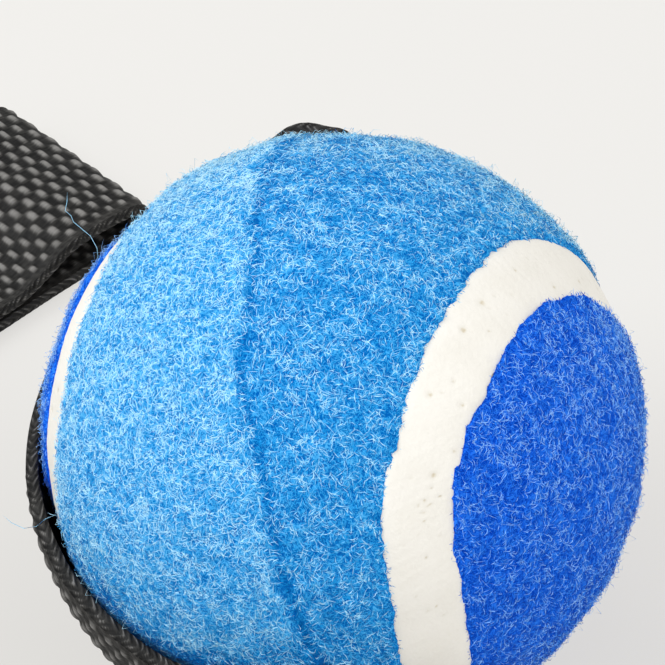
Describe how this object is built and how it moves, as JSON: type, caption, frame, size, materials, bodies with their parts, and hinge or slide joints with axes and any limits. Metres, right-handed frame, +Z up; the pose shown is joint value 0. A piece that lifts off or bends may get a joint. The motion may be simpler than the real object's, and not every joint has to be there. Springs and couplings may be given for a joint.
{
  "type": "dog tug ball",
  "caption": "Felt covered play ball with a pale wavy seam, clamped on a doubled black webbing strap that wraps it and runs out into a sewn hand loop.",
  "frame": {"origin": "middle of the small flat patch that the ball rests on", "axes": "+Z up; +Y away from the picture's viewer, along the longest side of the laid out toy; +X to the viewer's right"},
  "size_m": [0.1254, 0.1602, 0.0633],
  "materials": {
    "light_felt": "napped felt",
    "royal_felt": "napped felt",
    "seam": "matte",
    "core": "matte",
    "cement": "matte",
    "webbing": "woven",
    "thread": "twisted thread"
  },
  "bodies": {
    "ball": {"felt_panel_light": "light_felt", "felt_panel_royal": "royal_felt", "seam_band": "seam", "core_left_half": "core", "core_right_half": "core", "core_cement_upper": "cement", "core_cement_lower": "cement", "strap_inner_run": "webbing", "strap_ball_wrap": "webbing", "neck_tack_right": "thread", "neck_tack_left": "thread"},
    "handle_root": {"root_ply_outer": "webbing", "root_ply_inner": "webbing", "box_stitch_outer": "thread", "box_stitch_inner": "thread"},
    "hand_loop": {"loop_ply_outer": "webbing", "loop_ply_inner": "webbing", "eye_tack_near_outer": "thread", "eye_tack_near_inner": "thread", "eye_tack_far_outer": "thread", "eye_tack_far_inner": "thread"},
    "loop_tip": {"strap_tip": "webbing"}
  },
  "joints": [
    {"name": "neck_swing", "type": "hinge", "parent": "ball", "child": "handle_root", "pos_m": [-0.008, -0.058, 0.0127], "axis": [0, 0, 1], "range_deg": [-10, 75]},
    {"name": "loop_bend", "type": "hinge", "parent": "handle_root", "child": "hand_loop", "pos_m": [-0.04992, -0.0724, 0.0127], "axis": [0, 0, 1], "range_deg": [-10, 70]},
    {"name": "tip_lift", "type": "hinge", "parent": "hand_loop", "child": "loop_tip", "pos_m": [-0.0561, 0.0505, 0.00215], "axis": [0.7071, -0.7071, 0], "range_deg": [0, 75]}
  ]
}
